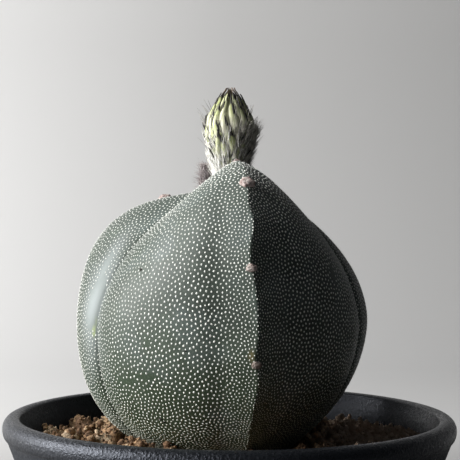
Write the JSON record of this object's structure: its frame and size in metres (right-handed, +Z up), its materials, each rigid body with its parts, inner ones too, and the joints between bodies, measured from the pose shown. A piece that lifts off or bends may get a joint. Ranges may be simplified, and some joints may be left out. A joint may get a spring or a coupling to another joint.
{
  "type": "potted bishop's cap cactus",
  "caption": "Ribbed spineless cactus with a flower bud on its crown, set in gritty soil in a round tapering pot with a rolled rim and a drain hole.",
  "frame": {"origin": "centre of the pot's foot, on the surface it stands on", "axes": "+Z up; the plant's front, where its sharpest rib stands, faces -Y; +X is to the right seen from the front"},
  "size_m": [0.12, 0.12, 0.1632],
  "materials": {
    "pot": "matte",
    "soil": "matte",
    "stem_skin": "satin",
    "bud_scales": "matte",
    "young_bud_wool": "matte"
  },
  "bodies": {
    "root": {"pot": "pot", "soil": "soil", "cactus_body": "stem_skin", "flower_bud": "bud_scales", "young_bud": "young_bud_wool"}
  },
  "joints": []
}
